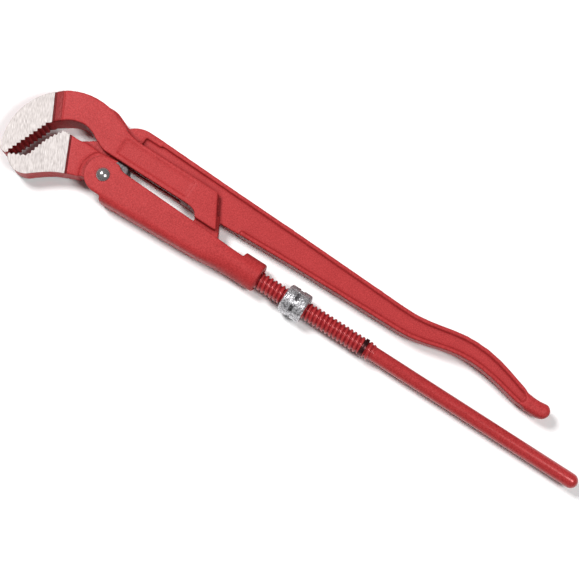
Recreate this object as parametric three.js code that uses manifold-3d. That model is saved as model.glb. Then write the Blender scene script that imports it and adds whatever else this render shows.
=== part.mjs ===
// Pipe wrench of the Swedish pattern with S-shaped jaws, 2 in size, lying flat on its back.
//
// Millimetres, Z up. X runs along the threaded leg from the jaws to the handle ends, Y runs across
// the wrench towards the forged handle, and Z is the thickness. While the pieces are drawn, the jaw
// rivet stands at x = 0 and the leg's axis is the line y = 0, z = 0. At the end the whole wrench is
// moved so that the origin is the middle of the underside of its bounding box.
import * as THREE from "three";
import { mergeVertices } from "three/addons/utils/BufferGeometryUtils.js";
import Module from "manifold-3d";

const wasm = await Module();
wasm.setup();

// ---- Driving dimensions -------------------------------------------------------------------------

const gap = 0.3; // between pieces that touch

// Half thicknesses, measured from the middle plane of the wrench
const half = {
  head: 12.5, // neck, block and sleeve
  tip: 10.5, // ground end of the hook
  jaw: 9, // lower jaw outside the sleeve
  rib: 7, // ribs along the handle's edges
  web: 4.5, // handle between its ribs
  tongue: 7.6, // part of the lever that reaches into the sleeve
  channel: 8, // inside of the sleeve
  clevis: 3.4, // slot in the tongue for the leg's eye
  eye: 3, // flat eye at the front of the leg
  guideSlot: 4.6, // slot in the block for the lower jaw's guide
  guide: 4, // guide fin on the lower jaw
};

const hook = { x: -37, y: 0, radius: 52.4 }; // circle that the back of the hook follows
const hookTeeth = { top: [-61.3, 14.5], bottom: [-75.9, -23.8], count: 10, depth: 1.9, root: 0.66 };
const jawTeeth = { count: 13, depth: 1.6, root: 0.48 };
const tipSlope = { angle: 29, x: -65.8, y: 27, width: 7.8 }; // from the neck down to the ground tip
const track = { y: 19, start: -8, end: 69 }; // edge of the block that the jaw's heel runs along
const panel = { top: 40.2, bottom: 13, rearTop: 86, rearBottom: 102 };
const label = { left: -1, right: 66, low: 23, high: 37, depth: 0.8 };

const handle = { ribWidth: 3.6, lowRibStart: 118, recessEnd: 381, endRadius: 3, endY: 34 };

const rivet = { y: 2, shank: 4.5, head: 5.9, dome: 3.2 };
const cheek = { radius: 15.8, farRadius: 9.5, flatY: 15.7 };
const sleeve = { webStart: 7.5, bottom: -17.5, bossBottom: -11.4, wall: 4, corner: 6 };
const boss = { start: 131.5, end: 151.5, radius: 12.5, y: 1.1, bore: 8.2 };
const arcStep = 20.5; // radius about the rivet inside which the lower jaw is thin

const pivot = { x: 98, radius: 8.4, eye: 7.4, hole: 4.2, pin: 3.9 };
const thread = { pitch: 3.8, crest: 7.6, root: 6.1, start: 110, end: 261 };
const leg = { radius: 6.1, end: 450.4 };

const nut = { start: 176.5, length: 20, radius: 12.4, bore: 7.95, chamfer: 1.4 };
const nutGroove = { width: 3, depth: 3, ribs: 6, ribWidth: 5, ribDrop: 0.2, turn: 8 };
const ring = { start: 250.2, width: 3.2, inner: 6.4, outer: 7.9, opening: 40 };

// ---- Solids -------------------------------------------------------------------------------------

// A closed three.js geometry as a solid that can be joined and cut.
function solid(geometry) {
  const bare = geometry.index ? geometry.toNonIndexed() : geometry.clone();
  bare.deleteAttribute("normal");
  bare.deleteAttribute("uv");
  const merged = mergeVertices(bare, 1e-4);
  const triangles = [];
  for (let i = 0; i < merged.index.count; i += 3) {
    const [a, b, c] = [0, 1, 2].map((k) => merged.index.getX(i + k));
    if (a !== b && b !== c && c !== a) triangles.push(a, b, c);
  }
  return new wasm.Manifold(
    new wasm.Mesh({
      numProp: 3,
      vertProperties: merged.attributes.position.array,
      triVerts: new Uint32Array(triangles),
    }),
  );
}

// A flat shape in X and Y, from one height to another.
function plate(shape, low, high, curveSegments = 6) {
  const depth = high - low;
  const options = { depth, bevelEnabled: false, curveSegments };
  return solid(new THREE.ExtrudeGeometry(shape, options).translate(0, 0, low));
}

// A flat shape that reaches the same distance to both sides of the middle plane.
function slab(shape, halfThickness, curveSegments) {
  return plate(shape, -halfThickness, halfThickness, curveSegments);
}

// A round solid about the X axis, from [x, radius] pairs in order of rising x.
function turned(profile, segments = 28) {
  const [first, last] = [profile[0][0], profile[profile.length - 1][0]];
  const points = [[first, 0], ...profile, [last, 0]];
  const outline = points.map(([x, radius]) => new THREE.Vector2(radius, x));
  return solid(new THREE.LatheGeometry(outline, segments).rotateZ(-Math.PI / 2));
}

// A round solid about a line along Z.
function post(x, y, radius, low, high, segments = 28) {
  const geometry = new THREE.CylinderGeometry(radius, radius, high - low, segments);
  return solid(geometry.rotateX(Math.PI / 2).translate(x, y, (low + high) / 2));
}

function box(x0, x1, y0, y1, z0, z1) {
  const geometry = new THREE.BoxGeometry(x1 - x0, y1 - y0, z1 - z0);
  return solid(geometry.translate((x0 + x1) / 2, (y0 + y1) / 2, (z0 + z1) / 2));
}

function polygon(points) {
  return new THREE.Shape(points.map(([x, y]) => new THREE.Vector2(x, y)));
}

function vectors(points) {
  return points.map(([x, y]) => new THREE.Vector2(x, y));
}

// Points of a circle's arc, angles in degrees.
function arc(x, y, radius, from, to, steps) {
  return Array.from({ length: steps + 1 }, (_, i) => {
    const angle = THREE.MathUtils.degToRad(from + ((to - from) * i) / steps);
    return [x + radius * Math.cos(angle), y + radius * Math.sin(angle)];
  });
}

// Saw teeth with their tips on a row of points. Each root lies a share of the way to the next tip,
// and a depth to the left of the row.
function sawTeeth(row, depth, rootShare) {
  const teeth = [];
  for (let i = 0; i + 1 < row.length; i += 1) {
    const [[x0, y0], [x1, y1]] = [row[i], row[i + 1]];
    const [stepX, stepY] = [x1 - x0, y1 - y0];
    const lean = depth / Math.hypot(stepX, stepY);
    teeth.push(row[i], [x0 + stepX * rootShare - stepY * lean, y0 + stepY * rootShare + stepX * lean]);
  }
  return [...teeth, row[row.length - 1]];
}

// Evenly spaced points along a curve.
function spaced(curve, count) {
  return curve.getSpacedPoints(count).map((p) => [p.x, p.y]);
}

function mesh(name, body, color, roughness, metalness) {
  const { numProp, vertProperties, triVerts } = body.getMesh();
  const position = new Float32Array((vertProperties.length / numProp) * 3);
  for (let i = 0; i < position.length / 3; i += 1) {
    position.set(vertProperties.subarray(i * numProp, i * numProp + 3), i * 3);
  }
  const geometry = new THREE.BufferGeometry();
  geometry.setAttribute("position", new THREE.BufferAttribute(position, 3));
  geometry.setIndex(new THREE.BufferAttribute(triVerts, 1));
  geometry.computeVertexNormals();
  const material = new THREE.MeshStandardMaterial({ color, roughness, metalness });
  const made = new THREE.Mesh(geometry, material);
  made.name = name;
  return made;
}

// ---- Lever: hook, block and handle in one forging -------------------------------------------------

// Hook, neck and block, seen from above.
function headShape() {
  const shape = new THREE.Shape();
  shape.moveTo(-81.6, -25.6);
  for (const [x, y] of arc(hook.x, hook.y, hook.radius, 208, 68, 22)) shape.lineTo(x, y);
  shape.splineThru(vectors([[-8.5, 45.4], [-2.5, 42.4], [4, 40.8], [12, panel.top]]));
  shape.lineTo(panel.rearTop, panel.top);
  shape.lineTo(panel.rearBottom, panel.bottom);
  shape.lineTo(81, panel.bottom);
  shape.bezierCurveTo(80, 17, 76, track.y, track.end, track.y);
  shape.lineTo(track.start, track.y);
  shape.splineThru(vectors([[-13.5, 19.8], [-20.5, 23], [-28, 26.6], [-35, 28.2], [-42, 27.5],
    [-48.5, 25], [-54, 21.2], [-59.2, 17]]));
  const { top, bottom, count, depth, root } = hookTeeth;
  const row = spaced(new THREE.LineCurve(...vectors([top, bottom])), count);
  for (const [x, y] of sawTeeth(row, -depth, root)) shape.lineTo(x, y);
  shape.lineTo(-77.6, -25.8);
  return shape;
}

// What is taken off one face so that the ground end of the hook lies lower than the neck: level up
// to the ground edge, then a slope up to the neck. It is drawn across that edge and stands along it.
function tipCutter() {
  const { angle, x, y, width } = tipSlope;
  const drop = half.head - half.tip;
  const reach = 60; // past the hook on every side
  const across = polygon([[-reach, 0], [0, 0], [width, drop], [width, drop + 1], [-reach, drop + 1]]);
  const geometry = new THREE.ExtrudeGeometry(across, { depth: 2 * reach, bevelEnabled: false });
  geometry.translate(0, 0, -reach).rotateX(Math.PI / 2).rotateZ(THREE.MathUtils.degToRad(angle));
  return solid(geometry.translate(x, y, half.tip));
}

// Upper and lower edges of the handle, from the block to the end, moved inwards by an inset.
function handleTop(shape, inset) {
  shape.lineTo(83, 50.8 - inset);
  shape.lineTo(169, 48.2 - inset);
  shape.lineTo(262, 44.7 - inset);
  shape.bezierCurveTo(288, 43.3 - inset, 303, 52.5 - inset, 325, 52.5 - inset);
  shape.bezierCurveTo(353, 52.5 - inset, 367, 42.6 - inset, 386, 39.9 - inset);
}

function handleBottom(shape, inset) {
  shape.bezierCurveTo(368, 28.6 + inset, 352, 35.8 + inset, 329, 35.8 + inset);
  shape.bezierCurveTo(305, 35.8 + inset, 290, 25 + inset, 268, 25 + inset);
  shape.lineTo(169, 23.4 + inset);
}

function handleShape() {
  const shape = new THREE.Shape();
  shape.moveTo(-40, 45);
  shape.lineTo(-31, 52);
  shape.splineThru(vectors([[-26, 52.7], [-20, 52.2], [-12.5, 49.4], [-5, 46.2]]));
  shape.splineThru(vectors([[-2.8, 48.4], [2, 51.2], [8, 52.9], [16, 53.2]]));
  handleTop(shape, 0);
  shape.splineThru(vectors([[393, 39.9], [399, 40.3], [402.8, 37.5], [403.5, 33], [400.8, 29],
    [395, 27.2], [385, 27]]));
  handleBottom(shape, 0);
  shape.lineTo(95, 20.7);
  shape.lineTo(78, 36);
  shape.lineTo(-20, 36);
  return shape;
}

// The sunk web between the ribs: it starts under the upper rib's step, and runs out over the lower
// edge up to the start of the lower rib. Its other end is cut round by recessSolid.
function recessShape() {
  const { ribWidth, lowRibStart } = handle;
  const shape = new THREE.Shape();
  shape.moveTo(11, 30);
  shape.lineTo(11, 47.4);
  shape.lineTo(25, 47.4);
  shape.lineTo(26, 52.4 - ribWidth);
  handleTop(shape, ribWidth);
  shape.lineTo(385, 27 + ribWidth);
  handleBottom(shape, ribWidth);
  const [corner, low] = [1.5, 21.8 + ribWidth];
  shape.lineTo(lowRibStart + corner, low);
  shape.quadraticCurveTo(lowRibStart, low, lowRibStart, low - corner);
  shape.lineTo(lowRibStart, 15);
  shape.lineTo(60, 15);
  return shape;
}

// What is taken off one side of the handle, from one height to another.
function recessSolid(low, high) {
  const { recessEnd, endRadius, endY } = handle;
  const centre = recessEnd - endRadius;
  const stop = box(centre, centre + 20, endY - 10, endY + 10, low - 1, high + 1)
    .subtract(post(centre, endY, endRadius, low - 1, high + 1));
  return plate(recessShape(), low, high).subtract(stop);
}

// The part of the lever inside the sleeve, with a round lobe about the leg's pivot.
function tongueShape() {
  const shape = new THREE.Shape();
  shape.moveTo(84, 25);
  shape.lineTo(81.2, 11);
  shape.lineTo(86, 2);
  for (const [x, y] of arc(pivot.x, 0, pivot.radius, 200, 360, 14)) shape.lineTo(x, y);
  shape.lineTo(105.6, 10.5);
  shape.lineTo(97, 25);
  return shape;
}

function leverSolid() {
  const cutter = tipCutter();
  let head = slab(headShape(), half.head);
  head = head.subtract(cutter).subtract(cutter.mirror([0, 0, 1]));
  const { left, right, low, high, depth } = label;
  for (const side of [-1, 1]) {
    const [z0, z1] = [side * (half.head - depth), side * (half.head + 1)].sort((a, b) => a - b);
    head = head.subtract(box(left, right, low, high, z0, z1));
  }
  const bar = slab(handleShape(), half.rib)
    .subtract(recessSolid(half.web, half.rib + 1))
    .subtract(recessSolid(-half.rib - 1, -half.web));
  const guideSlot = slab(
    polygon([[-40, 10], [62, 10], [62, 31.5], [-12, 31.5], [-24, 25], [-40, 20]]),
    half.guideSlot,
  );
  const clevis = box(84, 112, -12, pivot.eye + 2, -half.clevis, half.clevis);
  return head
    .subtract(guideSlot)
    .add(bar)
    .add(slab(tongueShape(), half.tongue))
    .subtract(clevis)
    .subtract(post(pivot.x, 0, pivot.hole, -half.head, half.head));
}

// ---- Lower jaw -------------------------------------------------------------------------------------

function jawShape() {
  const shape = new THREE.Shape();
  const { count, depth, root } = jawTeeth;
  const tips = new THREE.SplineCurve(vectors([[-75.5, -23.5], [-70, -20.7], [-65.8, -19.1],
    [-62.4, -16], [-59.6, -5.5], [-56.1, 4.3], [-49.7, 15.3]]));
  shape.moveTo(-76, -25.2);
  for (const [x, y] of sawTeeth(spaced(tips, count), -depth, root)) shape.lineTo(x, y);
  shape.lineTo(-41.2, 16);
  shape.splineThru(vectors([[-34, 15.9], [-26, 16.8], [-17, 16.4], [0, 17]]));
  shape.lineTo(0, -12);
  shape.lineTo(-14.6, -8.8);
  shape.splineThru(vectors([[-22.8, -11.8], [-33.7, -16.4], [-41.2, -21], [-49.6, -27.4],
    [-55.5, -31.9], [-62.7, -33.5], [-69, -31.8], [-73.9, -28.3], [-76, -25.2]]));
  return shape;
}

// The thin tail between the sleeve's cheeks, which ends in the heel under the track.
function tailShape() {
  const shape = new THREE.Shape();
  shape.moveTo(-26, 14);
  shape.lineTo(-24, -9);
  shape.lineTo(-14.6, -8.2);
  for (const [x, y] of arc(0, rivet.y, 11, 245, 320, 6)) shape.lineTo(x, y);
  shape.lineTo(15.2, 4);
  shape.quadraticCurveTo(16.4, 18.4, 12, 18.4);
  shape.lineTo(2, 18.4);
  shape.lineTo(-12, 16.4);
  return shape;
}

// The fin that slides in the block's slot and keeps the two jaws in line.
function guideShape() {
  return polygon([[-36, 14], [-34, 16], [-22, 24], [-14, 30], [4, 30], [8, 26], [8, 12]]);
}

function lowerJawSolid() {
  const thin = post(0, rivet.y, arcStep, -half.jaw - 1, half.jaw + 1, 48);
  return slab(jawShape(), half.jaw)
    .subtract(thin)
    .add(slab(tailShape(), half.channel - gap))
    .add(slab(guideShape(), half.guide))
    .subtract(post(0, rivet.y, rivet.shank + gap, -half.jaw, half.jaw));
}

// ---- Sleeve ----------------------------------------------------------------------------------------

// Height of the sleeve's underside at x, which slopes up evenly to the boss.
function undersideAt(x) {
  const share = (x - sleeve.webStart) / (boss.end - sleeve.webStart);
  return sleeve.bottom + share * (sleeve.bossBottom - sleeve.bottom);
}

// Side view of one cheek: a disc about the rivet, cut flat on top, and the long wall behind it.
function cheekShape(discRadius) {
  const { webStart } = sleeve;
  const shape = new THREE.Shape();
  const start = THREE.MathUtils.radToDeg(Math.asin((cheek.flatY - rivet.y) / cheek.radius));
  const rim = discRadius < cheek.radius ? 90 : 180 - start;
  shape.moveTo(6.5, rivet.y + Math.min(discRadius, cheek.flatY - rivet.y));
  for (const [x, y] of arc(0, rivet.y, discRadius, rim, 268, 18)) shape.lineTo(x, y);
  shape.lineTo(webStart - 0.5, rivet.y - discRadius);
  shape.lineTo(webStart, undersideAt(webStart));
  shape.lineTo(boss.end - 6, undersideAt(boss.end - 6));
  shape.lineTo(boss.start + 1, 8);
  shape.splineThru(vectors([[107, 9.2], [80, 10.2], [45, 11.4], [19, 12.3], [13, 12.6], [10.6, 13.2]]));
  return shape;
}

// Cross-section of the sleeve with its rounded underside, run along the slope of that underside.
function roundedTrough() {
  const { bottom, corner, webStart } = sleeve;
  const section = new THREE.Shape();
  section.moveTo(half.head, 25);
  section.lineTo(-half.head, 25);
  for (const from of [180, 270]) {
    const side = from === 180 ? -1 : 1;
    const centre = [side * (half.head - corner), bottom + corner];
    for (const [z, y] of arc(...centre, corner, from, from + 90, 6)) section.lineTo(z, y);
  }
  const slope = Math.atan2(undersideAt(boss.end) - bottom, boss.end - webStart);
  const geometry = new THREE.ExtrudeGeometry(section, { depth: 220, bevelEnabled: false });
  geometry.translate(0, 0, -40).rotateY(Math.PI / 2);
  return solid(geometry.rotateZ(slope));
}

function sleeveSolid() {
  const { wall, webStart } = sleeve;
  const trough = roundedTrough();
  const near = plate(cheekShape(cheek.radius), 0, half.head, 8);
  const far = plate(cheekShape(cheek.farRadius), -half.head, 0, 8);
  const channel = polygon([[-30, undersideAt(webStart) - 6], [webStart, undersideAt(webStart) - 6],
    [webStart, undersideAt(webStart) + wall], [boss.start - 3, undersideAt(boss.start) + wall],
    [boss.start - 3, 30], [-30, 30]]);
  const round = turned([[boss.start, boss.radius - 0.8], [boss.start + 0.8, boss.radius],
    [boss.end - 1.2, boss.radius], [boss.end, boss.radius - 1.2]], 40);
  const bore = turned([[boss.start - 8, boss.bore], [boss.end + 2, boss.bore]]);
  return near
    .add(far)
    .intersect(trough)
    .add(round.translate([0, boss.y, 0]))
    .subtract(slab(channel, half.channel))
    .subtract(bore)
    .subtract(post(0, rivet.y, rivet.shank + gap, -half.head - 1, half.head + 1));
}

// ---- Threaded leg, nut, stop ring -------------------------------------------------------------------

// A right-hand helical thread. Each column of the grid stands one step further along the helix, and
// the last column meets the first one a whole pitch higher.
function threadSolid() {
  const { pitch, crest, root } = thread;
  const columns = 14;
  const form = [[0, root], [0.16, root], [0.42, crest], [0.74, crest]];
  const from = thread.start - 2 * pitch;
  const rows = Math.ceil((thread.end - from) / pitch + 3) * form.length;
  const positions = [];
  for (let i = 0; i < columns; i += 1) {
    const angle = (2 * Math.PI * i) / columns;
    for (let j = 0; j <= rows; j += 1) {
      const [share, radius] = form[j % form.length];
      const x = from + (Math.floor(j / form.length) + share + i / columns) * pitch;
      positions.push(x, radius * Math.cos(angle), radius * Math.sin(angle));
    }
  }
  const [startCentre, endCentre] = [columns * (rows + 1), columns * (rows + 1) + 1];
  positions.push(from - pitch, 0, 0, from + (rows / form.length + 2) * pitch, 0, 0);
  const at = (i, j) => (i < columns ? i * (rows + 1) + j : j + form.length);
  const faces = [];
  for (let i = 0; i < columns; i += 1) {
    const last = i + 1 < columns ? rows : rows - form.length;
    for (let j = 0; j < last; j += 1) {
      faces.push(at(i, j), at(i + 1, j), at(i, j + 1));
      faces.push(at(i + 1, j), at(i + 1, j + 1), at(i, j + 1));
    }
    faces.push(startCentre, at(i + 1, 0), at(i, 0));
    faces.push(endCentre, at(i, last), at(i + 1, last));
  }
  for (let j = 0; j < form.length; j += 1) {
    faces.push(startCentre, at(0, j), at(0, j + 1));
    faces.push(endCentre, at(columns - 1, rows - j), at(columns - 1, rows - j - 1));
  }
  const geometry = new THREE.BufferGeometry();
  geometry.setAttribute("position", new THREE.Float32BufferAttribute(positions, 3));
  geometry.setIndex(faces);
  return solid(geometry);
}

function legSolid() {
  const { crest, root, start, end } = thread;
  const envelope = turned([[start, 5], [start + 2, crest + 0.1], [end - 2, crest + 0.1], [end, 5.6]]);
  const [grooveStart, grooveEnd] = [ring.start - gap, ring.start + ring.width + gap];
  const groove = turned([[grooveStart, crest + 2], [grooveEnd, crest + 2]])
    .subtract(turned([[grooveStart - 1, root - 1], [grooveEnd + 1, root - 1]]));
  const nose = arc(leg.end - leg.radius, 0, leg.radius, 90, 15, 6);
  const rod = turned([[start - 1.5, 5.6], [start + 3, leg.radius - 0.2], [end - 3, leg.radius - 0.2],
    [end, leg.radius], ...nose]);
  const shank = polygon([[pivot.x, pivot.eye], [start - 2, 4.5], [start + 3, 4.5],
    [start + 3, -4.5], [start - 2, -4.5], [pivot.x, -pivot.eye]]);
  return threadSolid()
    .intersect(envelope)
    .subtract(groove)
    .add(rod)
    .add(slab(shank, half.eye))
    .add(post(pivot.x, 0, pivot.eye, -half.eye, half.eye))
    .subtract(post(pivot.x, 0, pivot.hole, -half.head, half.head));
}

function nutSolid() {
  const { start, length, radius, bore, chamfer } = nut;
  const end = start + length;
  const middle = start + length / 2;
  const body = turned([[start, radius - chamfer], [start + chamfer, radius],
    [end - chamfer, radius], [end, radius - chamfer]], 36);
  const hole = turned([[start - 1, bore + 1.6], [start, bore + 1.2], [start + 1.2, bore],
    [end - 1.2, bore], [end, bore + 1.2], [end + 1, bore + 1.6]]);
  const side = nutGroove.width / 2;
  const core = radius - nutGroove.depth;
  let groove = turned([[middle - side, radius + 1], [middle + side, radius + 1]], 36)
    .subtract(turned([[middle - side - 1, core], [middle + side + 1, core]], 36));
  for (let i = 0; i < nutGroove.ribs; i += 1) {
    const rib = box(middle - side - 1, middle + side + 1, -nutGroove.ribWidth / 2,
      nutGroove.ribWidth / 2, 0, radius - nutGroove.ribDrop);
    groove = groove.subtract(rib.rotate([(360 / nutGroove.ribs) * i + nutGroove.turn, 0, 0]));
  }
  return body.subtract(hole).subtract(groove);
}

// An open snap ring in the groove near the end of the thread.
function ringSolid() {
  const { start, width, inner, outer, opening } = ring;
  const body = turned([[start, outer - 0.3], [start + 0.3, outer], [start + width - 0.3, outer],
    [start + width, outer - 0.3]]);
  const hole = turned([[start - 1, inner], [start + width + 1, inner]]);
  const across = outer * Math.sin(THREE.MathUtils.degToRad(opening / 2));
  const slit = box(start - 1, start + width + 1, -across, across, -outer - 1, 0);
  return body.subtract(hole).subtract(slit);
}

// ---- Pins --------------------------------------------------------------------------------------------

// The jaw rivet: a domed head above the near cheek, and a flush end in the far one.
function rivetSolid() {
  const { shank, head, dome, y } = rivet;
  const base = half.head + gap / 2;
  const sphere = (head * head + dome * dome) / (2 * dome);
  const edge = THREE.MathUtils.radToDeg(Math.asin(head / sphere));
  const cap = arc(base + dome - sphere, 0, sphere, edge, edge / 10, 8);
  const profile = [[-half.head, shank], [base, shank], ...cap];
  return turned(profile, 32).rotate([0, -90, 0]).translate([0, y, 0]);
}

function pinSolid() {
  return post(pivot.x, 0, pivot.pin, -half.tongue + 0.2, half.tongue - 0.2);
}

// ---- Assembly ----------------------------------------------------------------------------------------

const paint = [0xc4353c, 0.45, 0.1];
const wrench = new THREE.Group();
wrench.add(
  mesh("handle_lever", leverSolid(), ...paint),
  mesh("lower_jaw", lowerJawSolid(), ...paint),
  mesh("sleeve", sleeveSolid(), ...paint),
  mesh("threaded_leg", legSolid(), ...paint),
  mesh("adjusting_nut", nutSolid(), 0xa9a9ab, 0.55, 0.9),
  mesh("stop_ring", ringSolid(), 0x3a3436, 0.4, 0.8),
  mesh("jaw_rivet", rivetSolid(), 0xc9c9cf, 0.2, 1),
  mesh("leg_pivot_pin", pinSolid(), 0x8f8f94, 0.4, 0.9),
);

const bounds = new THREE.Box3().setFromObject(wrench, true);
const middle = bounds.getCenter(new THREE.Vector3());
wrench.position.set(-middle.x, -middle.y, -bounds.min.z);

export default wrench;
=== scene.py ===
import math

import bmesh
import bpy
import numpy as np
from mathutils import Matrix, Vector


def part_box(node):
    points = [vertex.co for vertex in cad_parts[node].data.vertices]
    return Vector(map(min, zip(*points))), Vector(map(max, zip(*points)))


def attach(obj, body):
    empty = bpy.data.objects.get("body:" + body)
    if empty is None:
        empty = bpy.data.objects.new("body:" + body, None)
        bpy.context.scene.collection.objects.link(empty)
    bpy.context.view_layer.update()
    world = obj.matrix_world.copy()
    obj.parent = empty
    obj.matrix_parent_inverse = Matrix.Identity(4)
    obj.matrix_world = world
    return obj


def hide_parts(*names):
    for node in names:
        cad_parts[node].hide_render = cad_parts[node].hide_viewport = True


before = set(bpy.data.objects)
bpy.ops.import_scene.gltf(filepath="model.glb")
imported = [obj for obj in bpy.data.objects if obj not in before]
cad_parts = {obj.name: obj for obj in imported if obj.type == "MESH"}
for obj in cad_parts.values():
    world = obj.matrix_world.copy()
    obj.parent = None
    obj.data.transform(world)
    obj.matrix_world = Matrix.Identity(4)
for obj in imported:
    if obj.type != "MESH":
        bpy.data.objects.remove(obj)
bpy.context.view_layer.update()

# A pipe wrench of the Swedish pattern, lying on its back. The forgings are made from the CAD solids
# by level sets, which round their edges and fill their corners as a die does. The ground jaw ends
# stay crisp. The threaded leg, the nut, the ring and the pins are modelled here.
#
# Shapes are worked out in millimetres in the drawing frame: X runs along the leg from the jaw's
# rivet, Y across the wrench towards the handle, Z up from the middle plane. Meshes are in metres.

import openvdb
from mathutils import Vector, noise

scene = bpy.context.scene

MM = 0.001
MERGE_DISTANCE = 2e-6  # metres; corners of a CAD mesh that are closer are one
ON_PLANE = 1e-4  # millimetres; points that are closer to a cutting plane lie on it
SAME_PLANE = math.radians(1)  # faces that turn by less are joined
SHARP_ANGLE = math.radians(25)  # edges that turn by more get a bevel
BAND = 3  # voxels that a level set needs on each side of its surface
OFF_GRID = 0.27  # share of a voxel that shapes are moved by, so that no flat face lies on the grid
MARGIN = 4  # millimetres around a node's box that its grid covers

rivet_low, rivet_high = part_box("jaw_rivet")
leg_low, leg_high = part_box("threaded_leg")
ORIGIN = np.array([(rivet_low.x + rivet_high.x) / 2, (leg_low.y + leg_high.y) / 2,
                   (leg_low.z + leg_high.z) / 2]) / MM


def inner_box(node):
    """Lowest and highest corner of a CAD node in the drawing frame, in millimetres."""
    low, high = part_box(node)
    return np.array(low) / MM - ORIGIN, np.array(high) / MM - ORIGIN


# ---- Meshes --------------------------------------------------------------------------------------


def make_object(name, points, faces, smooth=True):
    """A new object from points in the drawing frame and lists of face corners."""
    mesh = bpy.data.meshes.new(name)
    mesh.from_pydata(((np.asarray(points, float) + ORIGIN) * MM).tolist(), [], faces)
    mesh.validate()
    mesh.update()
    made = bpy.data.objects.new(name, mesh)
    scene.collection.objects.link(made)
    if smooth:
        mesh.shade_smooth()
    return made


def cut_across(mesh, place, normal):
    """Cuts a bmesh at a plane, drops what lies on the side of the normal, and closes the cut."""
    cut = bmesh.ops.bisect_plane(mesh, geom=mesh.verts[:] + mesh.edges[:] + mesh.faces[:],
                                 dist=ON_PLANE * MM, plane_co=place, plane_no=Vector(normal),
                                 clear_outer=True)
    rim = [e for e in cut["geom_cut"] if isinstance(e, bmesh.types.BMEdge)]
    bmesh.ops.triangle_fill(mesh, edges=rim, use_beauty=True)
    bmesh.ops.recalc_face_normals(mesh, faces=mesh.faces[:])


def cad_shape(node, start=None):
    """A CAD node as points in the drawing frame, triangles, and None for its quads. With a start,
    only the part that lies further along X."""
    mesh = bmesh.new()
    mesh.from_mesh(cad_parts[node].data)
    bmesh.ops.remove_doubles(mesh, verts=mesh.verts[:], dist=MERGE_DISTANCE)
    if start is not None:
        cut_across(mesh, Vector((np.array([start, 0, 0]) + ORIGIN) * MM), (-1, 0, 0))
    bmesh.ops.triangulate(mesh, faces=mesh.faces[:])
    mesh.verts.index_update()
    points = np.array([v.co for v in mesh.verts]) / MM - ORIGIN
    triangles = np.array([[v.index for v in face.verts] for face in mesh.faces], np.uint32)
    mesh.free()
    return points.astype(np.float32), triangles, None


def level_set(shape, reach, voxel):
    """The distance from a shape's surface, kept up to a reach on both sides."""
    points, triangles, quads = shape
    return openvdb.FloatGrid.createLevelSetFromPolygons(
        points, triangles=triangles, quads=quads,
        transform=openvdb.createLinearTransform(voxelSize=voxel), halfWidth=reach / voxel + BAND)


def moved_surface(shape, distance, voxel):
    """The shape with its surface moved outwards by a distance, as points, triangles and quads."""
    grid = level_set(shape, abs(distance), voxel)
    return grid.convertToPolygons(isovalue=distance, adaptivity=0.01)


def rounded(shape, edge, corner, voxel):
    """The level set of a shape whose edges are rounded to one radius and corners filled to
    another. The new surface lies at a distance of -corner."""
    shape = moved_surface(shape, -edge, voxel)
    shape = moved_surface(shape, edge + corner, voxel)
    return level_set(shape, corner + 2 * voxel, voxel)


def smoothstep(value, start, end):
    share = np.clip((value - start) / (end - start), 0, 1)
    return share * share * (3 - 2 * share)


def forged(node, radii, voxel=0.4, merge=0.05):
    """A CAD node rounded as a forging, and kept inside the node's box: points and faces. radii
    holds (edge, corner, x from which they start, x from which they are full)."""
    shift = np.float32(voxel * OFF_GRID)
    low, high = inner_box(node)
    first = np.floor((low - MARGIN) / voxel).astype(int)
    corner_cell = tuple(int(v) for v in first)
    counts = np.ceil((high + MARGIN) / voxel).astype(int) - first
    distances = None
    for edge, corner, start, full in radii:
        cut = None if distances is None else start - 3 * (edge + corner)
        points, triangles, quads = cad_shape(node, cut)
        grid = rounded((points + shift, triangles, quads), edge, corner, voxel)
        values = np.empty(counts, np.float32)
        grid.copyToArray(values, ijk=corner_cell)
        values += corner
        if distances is None:
            distances = values
        else:
            x = (first[0] + np.arange(counts[0])) * voxel
            share = smoothstep(x, start, full).astype(np.float32)[:, None, None]
            distances += (values - distances) * share
    band = BAND * voxel
    blended = openvdb.FloatGrid(background=band)
    blended.copyFromArray(np.clip(distances, -band, band), ijk=corner_cell)
    blended.transform = openvdb.createLinearTransform(voxelSize=voxel)
    blended.gridClass = openvdb.GridClass.LEVEL_SET
    points, triangles, quads = blended.convertToPolygons(isovalue=0.0, adaptivity=merge)
    faces = [list(map(int, f[::-1])) for f in triangles] + [list(map(int, f[::-1])) for f in quads]
    return np.clip(points - shift, low, high), faces


def cut_off(obj, point, normal):
    """Cuts an object at a plane, drops what lies on the side of the normal, and closes it."""
    mesh = bmesh.new()
    mesh.from_mesh(obj.data)
    cut_across(mesh, Vector((np.array(point) + ORIGIN) * MM), normal)
    mesh.to_mesh(obj.data)
    mesh.free()
    obj.data.update()


def scored(points, faces, lines):
    """Cuts a surface along upright planes, each a (point, normal) pair, and keeps both sides."""
    mesh = bmesh.new()
    vertices = [mesh.verts.new(Vector(p)) for p in points]
    for face in faces:
        mesh.faces.new([vertices[i] for i in face])
    for point, normal in lines:
        bmesh.ops.bisect_plane(mesh, geom=mesh.verts[:] + mesh.edges[:] + mesh.faces[:],
                               dist=ON_PLANE, plane_co=Vector(point), plane_no=Vector(normal))
    mesh.verts.index_update()
    cut_points = np.array([v.co for v in mesh.verts])
    cut_faces = [[v.index for v in face.verts] for face in mesh.faces]
    mesh.free()
    return cut_points, cut_faces


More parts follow.
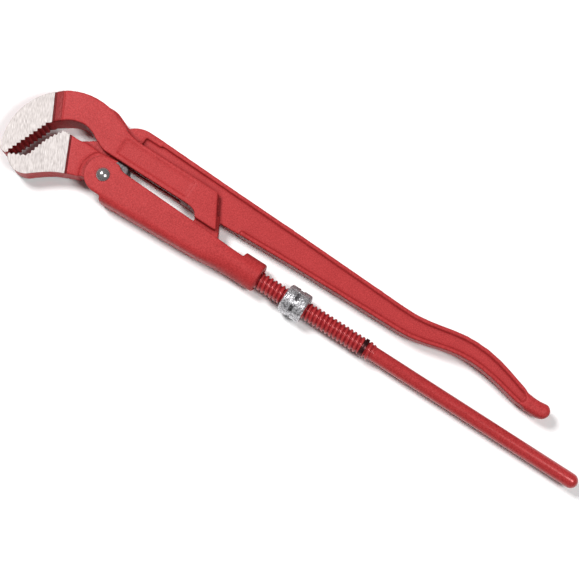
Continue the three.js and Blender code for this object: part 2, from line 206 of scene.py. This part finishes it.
def sawn_end(name, node, point, normal, bevel):
    """The end of a CAD node on the far side of a plane from its normal, with crisp edges."""
    points, triangles, _ = cad_shape(node)
    obj = make_object(name, points, triangles.tolist(), smooth=False)
    mesh = bmesh.new()
    mesh.from_mesh(obj.data)
    bmesh.ops.remove_doubles(mesh, verts=mesh.verts[:], dist=MERGE_DISTANCE)
    bmesh.ops.dissolve_limit(mesh, angle_limit=SAME_PLANE, verts=mesh.verts[:], edges=mesh.edges[:])
    mesh.to_mesh(obj.data)
    mesh.free()
    cut_off(obj, point, normal)
    mesh = bmesh.new()
    mesh.from_mesh(obj.data)
    bmesh.ops.dissolve_limit(mesh, angle_limit=SAME_PLANE, verts=mesh.verts[:], edges=mesh.edges[:])
    sharp = [e for e in mesh.edges if len(e.link_faces) == 2 and e.calc_face_angle(0) > SHARP_ANGLE]
    bmesh.ops.bevel(mesh, geom=sharp, offset=bevel * MM, segments=2, profile=0.5, affect="EDGES",
                    clamp_overlap=True)
    mesh.to_mesh(obj.data)
    mesh.free()
    return obj


def grid_faces(rows, columns):
    """Quads of a grid whose columns close into a ring."""
    faces = []
    for j in range(rows - 1):
        for i in range(columns):
            k = (i + 1) % columns
            faces.append([j * columns + i, j * columns + k, (j + 1) * columns + k,
                          (j + 1) * columns + i])
    return faces


def solid_faces(rows, columns):
    """Faces of a grid of rings with a fan over each end, whose centres are the last two points."""
    faces = grid_faces(rows, columns)
    last = (rows - 1) * columns
    start_centre = rows * columns
    end_centre = start_centre + 1
    for i in range(columns):
        k = (i + 1) % columns
        faces.append([start_centre, k, i])
        faces.append([end_centre, last + i, last + k])
    return faces


def turned(name, stations, radius_at, columns):
    """A round solid about the X axis. radius_at(x, angles) gives the radii of one ring."""
    angles = np.linspace(0, 2 * math.pi, columns, endpoint=False)
    rings = []
    for x in stations:
        r = radius_at(x, angles) * np.ones(columns)
        rings.append(np.stack([np.full(columns, x), r * np.cos(angles), r * np.sin(angles)], 1))
    points = np.concatenate([*rings, [[stations[0], 0, 0]], [[stations[-1], 0, 0]]])
    return make_object(name, points, solid_faces(len(stations), columns))


def upright(name, profile, x, y, columns=56):
    """A round solid about a line along Z, from (radius, z) pairs in order of rising z."""
    points = []
    for radius, z in profile:
        for i in range(columns):
            angle = 2 * math.pi * i / columns
            points.append((x + radius * math.cos(angle), y + radius * math.sin(angle), z))
    points += [(x, y, profile[0][1]), (x, y, profile[-1][1])]
    return make_object(name, points, solid_faces(len(profile), columns))


# ---- Materials -----------------------------------------------------------------------------------


class Nodes:
    """Short calls for building one material's node tree."""

    def __init__(self, name):
        self.material = bpy.data.materials.new(name)
        self.material.use_nodes = True
        self.tree = self.material.node_tree
        self.shader = self.tree.nodes["Principled BSDF"]
        coordinates = self.tree.nodes.new("ShaderNodeTexCoord")
        self.place = coordinates.outputs["Object"]

    def link(self, source, target):
        self.tree.links.new(source, target)

    def mapped(self, scale, turn=0.0):
        """Object coordinates, turned about Z and then scaled along each axis."""
        mapping = self.tree.nodes.new("ShaderNodeMapping")
        mapping.vector_type = "TEXTURE"
        mapping.inputs["Rotation"].default_value = (0, 0, turn)
        mapping.inputs["Scale"].default_value = scale
        self.link(self.place, mapping.inputs["Vector"])
        return mapping.outputs["Vector"]

    def noise(self, size, detail=3.0, turn=0.0, roughness=0.5):
        """Noise with features of a size in millimetres along each axis."""
        sizes = size if isinstance(size, tuple) else (size,) * 3
        texture = self.tree.nodes.new("ShaderNodeTexNoise")
        texture.inputs["Scale"].default_value = 1.0
        texture.inputs["Detail"].default_value = detail
        texture.inputs["Roughness"].default_value = roughness
        self.link(self.mapped(tuple(s * MM for s in sizes), turn), texture.inputs["Vector"])
        return texture.outputs["Fac"]

    def cells(self, size):
        """Distance to the nearest of scattered points, a size in millimetres apart."""
        texture = self.tree.nodes.new("ShaderNodeTexVoronoi")
        texture.inputs["Scale"].default_value = 1.0
        self.link(self.mapped((size * MM,) * 3), texture.inputs["Vector"])
        return texture.outputs["Distance"]

    def ramp(self, source, stops):
        """A colour ramp from (position, colour or grey) stops."""
        node = self.tree.nodes.new("ShaderNodeValToRGB")
        elements = node.color_ramp.elements
        while len(elements) < len(stops):
            elements.new(0.5)
        for element, (position, value) in zip(elements, stops):
            element.position = position
            color = value if isinstance(value, tuple) else (value,) * 3
            element.color = (*color, 1)
        self.link(source, node.inputs["Fac"])
        return node.outputs["Color"]

    def mix(self, first, second, share):
        """Two colours mixed by a share, which is a number or another output."""
        node = self.tree.nodes.new("ShaderNodeMix")
        node.data_type = "RGBA"
        if isinstance(share, float):
            node.inputs["Factor"].default_value = share
        else:
            self.link(share, node.inputs["Factor"])
        self.link(first, node.inputs["A"])
        self.link(second, node.inputs["B"])
        return node.outputs["Result"]

    def bump(self, height, depth, after=None):
        """A bump of a depth in millimetres, on top of another one."""
        node = self.tree.nodes.new("ShaderNodeBump")
        node.inputs["Strength"].default_value = 1.0
        node.inputs["Distance"].default_value = depth * MM
        self.link(height, node.inputs["Height"])
        if after is not None:
            self.link(after, node.inputs["Normal"])
        return node.outputs["Normal"]

    def painted_shade_share(self, reach, dark, clear):
        """Share of painted shade from ambient occlusion: 1 in corners of the piece's own shape and
        0 in the open. reach is in millimetres, and dark and clear are the open shares of the sky at
        which they hold."""
        occlusion = self.tree.nodes.new("ShaderNodeAmbientOcclusion")
        occlusion.only_local = True
        occlusion.samples = 12
        occlusion.inputs["Distance"].default_value = reach * MM
        return self.ramp(occlusion.outputs["AO"], [(dark, 1.0), (clear, 0.0)])

    def with_painted_shade(self, color, shade, reach, dark, clear):
        """A colour mixed to a darker shade in the creases: painted shade where the piece's own
        corners would shade it.
        """
        plain = self.tree.nodes.new("ShaderNodeRGB")
        plain.outputs["Color"].default_value = (*shade, 1)
        return self.mix(color, plain.outputs["Color"], self.painted_shade_share(reach, dark, clear))

    def finish(self, color, roughness, normal, metallic=0.0, specular=0.4, tint=(1.0, 1.0, 1.0)):
        self.link(color, self.shader.inputs["Base Color"])
        self.link(roughness, self.shader.inputs["Roughness"])
        self.link(normal, self.shader.inputs["Normal"])
        self.shader.inputs["Metallic"].default_value = metallic
        self.shader.inputs["Specular IOR Level"].default_value = specular
        self.shader.inputs["Specular Tint"].default_value = (*tint, 1)
        return self.material


RED_REFLECTION = (1.0, 0.45, 0.45)  # tint of what the red paint reflects


def red_paint(name, gloss, grain, shade_tone=1.0, crease=(0.06, 0.0008, 0.003), specular=0.3):
    """Powder coat with a fine sandy grain over an orange peel, with painted shade in the creases.
    gloss lowers the roughness, grain is the depth of the sand in millimetres, shade_tone darkens
    the colours as painted shade, and crease is the colour of the painted shade deep in the corners."""
    def shade(r, g, b):
        return r * shade_tone, g * shade_tone, b * shade_tone

    n = Nodes(name)
    broad = n.ramp(n.noise(14, 3), [(0.3, shade(0.37, 0.028, 0.029)),
                                    (0.7, shade(0.44, 0.038, 0.040))])
    fine = n.ramp(n.noise(0.9, 4), [(0.3, shade(0.24, 0.012, 0.014)),
                                    (0.7, shade(0.58, 0.060, 0.062))])
    # Painted shade: the colour turns to the crease colour in the corners, by ambient occlusion.
    color = n.with_painted_shade(n.mix(broad, fine, 0.6), shade(*crease), reach=5.0, dark=0.42,
                       clear=0.95)
    roughness = n.ramp(n.noise(1.6, 3), [(0.3, 0.52 - gloss), (0.7, 0.62 - gloss)])
    peel = n.bump(n.noise(1.8, 2), 2 * grain)
    sand = n.bump(n.noise(0.5, 3), grain, after=peel)
    return n.finish(color, roughness, sand, specular=specular, tint=RED_REFLECTION)


def ground_steel():
    """Steel ground flat, with fine streaks along the grinding direction."""
    n = Nodes("ground_steel")
    turn = math.radians(33)  # of the grinding direction
    streaks = n.noise((0.45, 4.5, 4.5), 4, turn)
    color = n.ramp(streaks, [(0.25, (0.31, 0.275, 0.266)), (0.5, (0.48, 0.435, 0.42)),
                             (0.75, (0.59, 0.55, 0.535))])
    roughness = n.ramp(streaks, [(0.3, 0.62), (0.7, 0.50)])
    normal = n.bump(n.noise((0.3, 12, 12), 3, turn), 0.03)
    return n.finish(color, roughness, normal, metallic=0.3)


def zinc_casting():
    """A rough zinc-plated casting with dark pits, and painted shade in its slots and corners."""
    n = Nodes("zinc_casting")
    blotches = n.ramp(n.noise(1.0, 5, roughness=0.7), [(0.38, (0.06, 0.05, 0.06)),
                                                      (0.48, (0.46, 0.45, 0.47)),
                                                      (0.60, (0.90, 0.89, 0.91))])
    roughness = n.ramp(n.noise(0.9, 3), [(0.3, 0.28), (0.7, 0.45)])
    lumps = n.bump(n.noise(1.3, 4, roughness=0.6), 0.17)
    pits = n.bump(n.cells(0.7), 0.04, after=lumps)
    # Painted shade in the slots and corners, by ambient occlusion.
    color = n.with_painted_shade(blotches, (0.03, 0.02, 0.025), reach=3.5, dark=0.3, clear=0.8)
    return n.finish(color, roughness, pits, metallic=0.7, specular=0.6)


def dark_steel():
    """Dark spring steel tinted red: partly some of the leg's paint on it, partly a painted
    reflection of the red leg.
    """
    n = Nodes("dark_steel")
    color = n.ramp(n.noise(1.2, 4), [(0.3, (0.060, 0.016, 0.018)), (0.7, (0.17, 0.06, 0.065))])
    roughness = n.ramp(n.noise(0.6, 3), [(0.3, 0.25), (0.7, 0.42)])
    return n.finish(color, roughness, n.bump(n.noise(0.4, 3), 0.02), metallic=0.9)


def polished_steel():
    """The rivet's polished dome."""
    n = Nodes("polished_steel")
    color = n.ramp(n.noise(2.5, 3), [(0.3, (0.52, 0.49, 0.49)), (0.7, (0.66, 0.63, 0.63))])
    roughness = n.ramp(n.noise(0.5, 4), [(0.3, 0.13), (0.7, 0.24)])
    return n.finish(color, roughness, n.bump(n.noise(1.1, 3), 0.012), metallic=0.85)


def bare_steel():
    """Worn forged steel without paint, on the heel and the hidden pin."""
    n = Nodes("bare_steel")
    color = n.ramp(n.noise(1.4, 5, roughness=0.6), [(0.3, (0.045, 0.035, 0.038)),
                                                   (0.7, (0.15, 0.13, 0.135))])
    roughness = n.ramp(n.noise(0.8, 3), [(0.3, 0.4), (0.7, 0.55)])
    return n.finish(color, roughness, n.bump(n.noise(0.7, 4), 0.06), metallic=0.7)


PAINT = red_paint("red_paint", gloss=0.1, grain=0.055)
# A glossier paint for the thread, with a lighter painted shade in its grooves.
THREAD_PAINT = red_paint("red_thread_paint", gloss=0.32, grain=0.015, crease=(0.20, 0.005, 0.012),
                         specular=0.8)
# Shaded copies of the red paint, as painted shade: much darker by the ground edges of the hook and
# the lower jaw, and darker on the hook's slope that faces away from the light.
SHADED_EDGE_PAINT = red_paint("red_edge_paint_shaded", gloss=0.1, grain=0.04, shade_tone=0.35)  # by a ground edge
SHADED_SLOPE_PAINT = red_paint("red_slope_paint_shaded", gloss=0.1, grain=0.05, shade_tone=0.6)  # on the hook's slope
GROUND = ground_steel()
ZINC = zinc_casting()
DARK = dark_steel()
POLISHED = polished_steel()
BARE = bare_steel()


def dress(obj, body, slot, nodes, *materials):
    """Gives an object its materials and its body, and hides the CAD nodes that it stands for. slot
    is not used.
    """
    for material in materials:
        obj.data.materials.append(material)
    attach(obj, body)
    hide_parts(*nodes)


def paint_faces(obj, chosen, index):
    """Gives one material to the faces that chosen(centre, normal) picks, in the drawing frame."""
    for face in obj.data.polygons:
        centre = np.array(face.center) / MM - ORIGIN
        if chosen(centre, face.normal):
            face.material_index = index


# ---- Lever and lower jaw -------------------------------------------------------------------------

# Roundings as (edge radius, corner radius, x from which they start, x from which they are full)
LEVER_RADII = [(0.6, 0.7, 0, 0), (1.3, 0.9, 60, 130), (4.5, 0.9, 375, 388)]
JAW_RADII = [(0.5, 0.6, 0, 0)]
SLEEVE_RADII = [(0.6, 0.7, 0, 0)]
EYE_RADII = [(0.6, 0.8, 0, 0)]
NUT_RADII = [(0.5, 0.3, 0, 0)]

HOOK_EDGE = {"point": (-66.2, 26.8), "angle": 29.0}  # where the ground end of the hook begins
JAW_EDGE = {"point": (-35.6, 1.6), "angle": 26.5}  # where the ground end of the lower jaw begins

# Heights of the lever's face at distances behind its ground edge, and changes of the lower jaw's
HOOK_STEP = [(0, 10.5), (0.3, 10.1), (1.5, 10.15), (2.0, 10.7), (2.3, 10.75), (7.3, 12.0),
             (7.6, 11.85), (8.2, 11.85), (9.1, 12.4), (9.5, 12.5)]
JAW_STEP = [(0, -0.7), (0.3, -1.0), (1.2, -0.95), (1.7, -0.08), (2.0, 0)]
CAD_SLOPE = [(0.4, 10.5), (8.2, 12.5)]  # the lever's face there as the CAD solid has it
# Bands behind the hook's ground edge that get painted shade: the groove, and the slope.
HOOK_BANDS = [(0, 2.0), (2.0, 7.6)]  # the groove behind the hook's edge, and the slope
HOOK_REAR = -30  # the lever's steps lie in front of this x
JAW_REAR = -14  # and the lower jaw's in front of this one
JAW_TIP_SHARE = 8.3 / 9  # half thickness of the lower jaw's ground end over the CAD solid's
EDGE_BEVEL = 0.22
FACING_UP = 0.5  # faces whose normal has a larger part along Z are ground


def line_normal(edge):
    angle = math.radians(edge["angle"])
    return math.cos(angle), math.sin(angle)


def beyond(edge, points):
    """How far each point lies behind a ground edge."""
    nx, ny = line_normal(edge)
    return (points[:, 0] - edge["point"][0]) * nx + (points[:, 1] - edge["point"][1]) * ny


def add_to_faces(points, change, sheltered, full):
    """Moves the flat faces up and down by a change. Points nearer to the middle plane than
    sheltered stay, and those further than full move all the way."""
    height = np.abs(points[:, 2])
    share = np.clip((height - sheltered) / (full - sheltered), 0, 1)
    points[:, 2] += np.sign(points[:, 2]) * share * change


def ground_lines(edge, distances):
    """Upright planes alongside a ground edge, each a distance behind it."""
    nx, ny = line_normal(edge)
    x, y = edge["point"]
    return [((x + nx * d, y + ny * d, 0), (nx, ny, 0)) for d in distances]


def lever():
    """The forging of hook, block and handle, and the ground end of the hook with its teeth."""
    points, faces = forged("handle_lever", LEVER_RADII)
    points, faces = scored(points, faces, ground_lines(HOOK_EDGE, [d for d, _ in HOOK_STEP]))
    past = beyond(HOOK_EDGE, points)
    plain = np.interp(past, *zip(*CAD_SLOPE))
    stepped = np.interp(past, *zip(*HOOK_STEP))
    near_hook = (points[:, 0] < HOOK_REAR) & (past < HOOK_STEP[-1][0])
    add_to_faces(points, np.where(near_hook, stepped - plain, 0), sheltered=8.0, full=10.0)
    body = make_object("lever_forging", points, faces)
    nx, ny = line_normal(HOOK_EDGE)
    cut_off(body, (*HOOK_EDGE["point"], 0), (-nx, -ny, 0))
    dress(body, "lever", "red_paint", ["handle_lever"], PAINT, SHADED_EDGE_PAINT, SHADED_SLOPE_PAINT)
    # Painted shade on the groove and the slope behind the hook's ground edge.
    for index, (low, high) in enumerate(HOOK_BANDS, 1):
        paint_faces(body, lambda c, n: abs(c[2]) > 9 and c[0] < -40 and
                    low < beyond(HOOK_EDGE, c[None])[0] < high, index)

    tip = sawn_end("hook_ground_end", "handle_lever", (*HOOK_EDGE["point"], 0), (nx, ny, 0),
                   EDGE_BEVEL)
    dress(tip, "lever", "ground_steel", ["handle_lever"], PAINT, GROUND)
    paint_faces(tip, lambda c, n: abs(n.z) > FACING_UP and abs(c[2]) > 9.8, 1)


def jaw():
    """The lower jaw's forging, and its ground end with the teeth."""
    points, faces = forged("lower_jaw", JAW_RADII)
    points, faces = scored(points, faces, ground_lines(JAW_EDGE, [d for d, _ in JAW_STEP]))
    past = beyond(JAW_EDGE, points)
    drop = np.interp(past, *zip(*JAW_STEP))
    add_to_faces(points, np.where(points[:, 0] < JAW_REAR, drop, 0), sheltered=7.0, full=8.4)
    body = make_object("jaw_forging", points, faces)
    nx, ny = line_normal(JAW_EDGE)
    cut_off(body, (*JAW_EDGE["point"], 0), (-nx, -ny, 0))
    dress(body, "jaw", "red_paint", ["lower_jaw"], PAINT, BARE, SHADED_EDGE_PAINT)
    paint_faces(body, lambda c, n: c[0] > 3 and c[1] > 6, 1)  # the heel
    # Painted shade on the step behind the lower jaw's ground edge.
    paint_faces(body, lambda c, n: abs(c[2]) > 7.5 and c[0] < -20 and
                beyond(JAW_EDGE, c[None])[0] < JAW_STEP[-1][0], 2)

    tip = sawn_end("jaw_ground_end", "lower_jaw", (*JAW_EDGE["point"], 0), (nx, ny, 0), EDGE_BEVEL)
    for vertex in tip.data.vertices:
        z = vertex.co.z / MM - ORIGIN[2]
        vertex.co.z = (z * JAW_TIP_SHARE + ORIGIN[2]) * MM
    dress(tip, "jaw", "ground_steel", ["lower_jaw"], PAINT, GROUND)
    paint_faces(tip, lambda c, n: abs(n.z) > FACING_UP and abs(c[2]) > 7.8, 1)


BOSS = {"y": 1.1, "radius": 12.5, "blend_start": 96, "blend_end": 132}  # blended in along X


def sleeve():
    """The sleeve's square walls, drawn in to the round of its boss towards the rear."""
    points, faces = forged("sleeve", SLEEVE_RADII)
    share = smoothstep(points[:, 0], BOSS["blend_start"], BOSS["blend_end"])
    reach = np.hypot(points[:, 1] - BOSS["y"], points[:, 2])
    factor = 1 - share * (1 - np.minimum(1, BOSS["radius"] / np.maximum(reach, 1e-6)))
    points[:, 1] = BOSS["y"] + (points[:, 1] - BOSS["y"]) * factor
    points[:, 2] *= factor
    body = make_object("sleeve_forging", points, faces)
    dress(body, "sleeve", "red_paint", ["sleeve"], PAINT)


# ---- Threaded leg, nut, ring and pins ------------------------------------------------------------

# Places and lengths along X, the radii crest, root, inner and outer, and the opening in degrees
THREAD = {"pitch": 3.8, "crest": 7.6, "root": 6.1, "start": 110.0, "end": 261.0, "run_out": 3.0}
THREAD_FORM = [(0, 0.0), (0.08, 0.12), (0.17, 0.52), (0.32, 0.93), (0.50, 1.0), (0.68, 0.93),
               (0.83, 0.52), (0.92, 0.12), (1.0, 0.0)]  # height of the rounded thread over one turn
THREAD_PHASE = 0.19  # turns
THREAD_STATION = 0.24  # distance between the rings of points along the thread
RING = {"start": 250.2, "width": 3.2, "inner": 6.4, "outer": 7.9, "opening": 40.0}
RING_GAP = 0.3  # at each side of the ring in its groove
ROD_END = 450.4


def leg():
    """The threaded rod with its round end, and the flat eye inside the sleeve."""
    pitch, crest, root, run_out = (THREAD[k] for k in ("pitch", "crest", "root", "run_out"))
    start, end = THREAD["start"], THREAD["end"]
    groove = (RING["start"] - RING_GAP, RING["start"] + RING["width"] + RING_GAP)
    nose = root  # radius of the round end

    def radius_at(x, angles):
        turns = (x - start) / pitch - angles / (2 * math.pi) + THREAD_PHASE
        form = np.interp(turns % 1.0, *zip(*THREAD_FORM))
        height = (crest - root) * np.interp(x, [start, start + run_out, end - run_out, end],
                                            [0, 1, 1, 0])
        if groove[0] < x < groove[1]:
            height = 0
        if x > ROD_END - nose:
            return np.sqrt(max(nose ** 2 - (x - ROD_END + nose) ** 2, 0.0001)) + 0 * angles
        return root + height * form

    threaded = np.arange(start, end + 1, THREAD_STATION)
    rod = np.linspace(end + 2, ROD_END - nose, 24)
    tip = ROD_END - nose + nose * np.sin(np.linspace(0.1, 0.999, 14) * math.pi / 2)
    obj = turned("threaded_rod", [*threaded, *rod, *tip], radius_at, columns=60)
    dress(obj, "leg", "red_paint", ["threaded_leg"], THREAD_PAINT)

    points, faces = forged("threaded_leg", EYE_RADII)
    eye = make_object("leg_eye", points, faces)
    cut_off(eye, (start + 0.5, 0, 0), (1, 0, 0))
    dress(eye, "leg", "red_paint", ["threaded_leg"], PAINT)


NOISE_SEED = 1  # without it, noise_vector is seeded from the clock


def roughened(points, scale, depth):
    """Points moved by smooth noise, in millimetres."""
    noise.seed_set(NOISE_SEED)
    moves = [np.array(noise.noise_vector(Vector(p * (1 / scale)))) * depth
             for p in points.astype(float)]
    return points + np.array(moves)


def nut():
    """The nut's casting, with its rough skin."""
    points, faces = forged("adjusting_nut", NUT_RADII, voxel=0.3, merge=0.0)
    low, high = inner_box("adjusting_nut")
    points = np.clip(roughened(points, scale=1.6, depth=0.22), low, high)
    obj = make_object("nut_casting", points, faces)
    dress(obj, "nut", "zinc_nut", ["adjusting_nut"], ZINC)


def ring():
    """The open snap ring: a rounded rectangle, as a superellipse, led round the leg."""
    start, width = RING["start"], RING["width"]
    inner, outer = RING["inner"], RING["outer"]
    half = math.radians(RING["opening"] / 2)
    steps, sides, power = 72, 24, 0.35
    middle = (start + width / 2, (inner + outer) / 2)
    size = (width / 2, (outer - inner) / 2)
    corners = []
    for i in range(sides):
        angle = 2 * math.pi * i / sides
        c, s = math.cos(angle), math.sin(angle)
        corners.append((middle[0] + size[0] * math.copysign(abs(c) ** power, c),
                        middle[1] + size[1] * math.copysign(abs(s) ** power, s)))
    points = []
    for j in range(steps + 1):
        angle = -math.pi / 2 + half + (2 * math.pi - 2 * half) * j / steps
        points += [(x, r * math.cos(angle), r * math.sin(angle)) for x, r in corners]
    faces = grid_faces(steps + 1, sides)
    faces += [list(range(sides))[::-1], [steps * sides + i for i in range(sides)]]
    obj = make_object("snap_ring", points, faces)
    dress(obj, "leg", "ring_steel", ["stop_ring"], DARK)


RIVET_SHANK = 4.5
RIVET_BASE = 12.65  # underside of the rivet's head, just above the cheek
RIVET_CHAMFER = 0.3
PIN_CHAMFER = 0.4


def pins():
    """The domed rivet, and the hidden pin."""
    low, high = inner_box("jaw_rivet")
    centre = (low + high) / 2
    head = (high[0] - low[0]) / 2
    dome = high[2] - RIVET_BASE
    sphere = (head * head + dome * dome) / (2 * dome)
    edge = math.asin(head / sphere)
    steps = 16
    cap = []
    for i in range(steps):
        angle = edge * (1 - i / (steps - 0.5))
        z = RIVET_BASE + dome - sphere + sphere * math.cos(angle)
        cap.append((sphere * math.sin(angle), z))
    profile = [(RIVET_SHANK - RIVET_CHAMFER, low[2]), (RIVET_SHANK, low[2] + RIVET_CHAMFER),
               (RIVET_SHANK, RIVET_BASE), (head - RIVET_CHAMFER, RIVET_BASE), *cap]
    dress(upright("rivet_dome", profile, centre[0], centre[1]), "sleeve", "rivet_steel",
          ["jaw_rivet"], POLISHED)

    low, high = inner_box("leg_pivot_pin")
    centre, radius = (low + high) / 2, (high[0] - low[0]) / 2
    profile = [(radius - PIN_CHAMFER, low[2]), (radius, low[2] + PIN_CHAMFER),
               (radius, high[2] - PIN_CHAMFER), (radius - PIN_CHAMFER, high[2])]
    dress(upright("pivot_pin", profile, centre[0], centre[1]), "lever", "pin_steel",
          ["leg_pivot_pin"], BARE)


lever()
jaw()
sleeve()
leg()
nut()
ring()
pins()

# ---- Floor, light and camera ---------------------------------------------------------------------


def floor():
    """A wide white floor under the wrench."""
    mesh = bpy.data.meshes.new("floor")
    size = 4.0
    corners = [(-size, -size, 0), (size, -size, 0), (size, size, 0), (-size, size, 0)]
    mesh.from_pydata(corners, [], [(0, 1, 2, 3)])
    obj = bpy.data.objects.new("floor", mesh)
    scene.collection.objects.link(obj)
    material = bpy.data.materials.new("pale_floor")
    material.use_nodes = True
    shader = material.node_tree.nodes["Principled BSDF"]
    shader.inputs["Base Color"].default_value = (0.96, 0.96, 0.96, 1)
    shader.inputs["Roughness"].default_value = 0.9
    shader.inputs["Specular IOR Level"].default_value = 0.1
    mesh.materials.append(material)


def softbox(name, position, size, power):
    """A round area light that faces the origin. Sizes are in metres and powers in watts."""
    data = bpy.data.lights.new(name, "AREA")
    data.shape = "DISK"
    data.size = size
    data.energy = power
    obj = bpy.data.objects.new(name, data)
    obj.location = position
    obj.rotation_mode = "QUATERNION"
    obj.rotation_quaternion = Vector(position).to_track_quat("Z", "Y")
    obj.visible_camera = False
    scene.collection.objects.link(obj)


def light():
    """A white studio with a softbox at each end of the wrench."""
    world = bpy.data.worlds.new("studio")
    world.use_nodes = True
    background = world.node_tree.nodes["Background"]
    background.inputs["Color"].default_value = (1, 1, 1, 1)
    background.inputs["Strength"].default_value = 0.08
    scene.world = world
    softbox("jaw_end_softbox", (-1.05, 0.25, 1.65), size=0.6, power=31)
    softbox("leg_end_softbox", (0.95, 0.05, 1.75), size=0.6, power=22)


def camera():
    """Almost straight down, with the wrench running from upper left to lower right."""
    data = bpy.data.cameras.new("camera")
    field = math.radians(25.0)
    target = Vector((-0.0039, -0.0028, 0.0125))
    data.sensor_width = 36  # millimetres
    data.lens = data.sensor_width / 2 / math.tan(field / 2)
    obj = bpy.data.objects.new("camera", data)
    azimuth, elevation, distance = math.radians(33.1), math.radians(80.25), 1.051
    back = Vector((math.sin(azimuth) * math.cos(elevation),
                   -math.cos(azimuth) * math.cos(elevation), math.sin(elevation)))
    obj.location = target + back * distance
    obj.rotation_mode = "QUATERNION"
    obj.rotation_quaternion = (-back).to_track_quat("-Z", "Y")
    scene.collection.objects.link(obj)
    scene.camera = obj


floor()
light()
camera()
scene.view_settings.view_transform = "Standard"
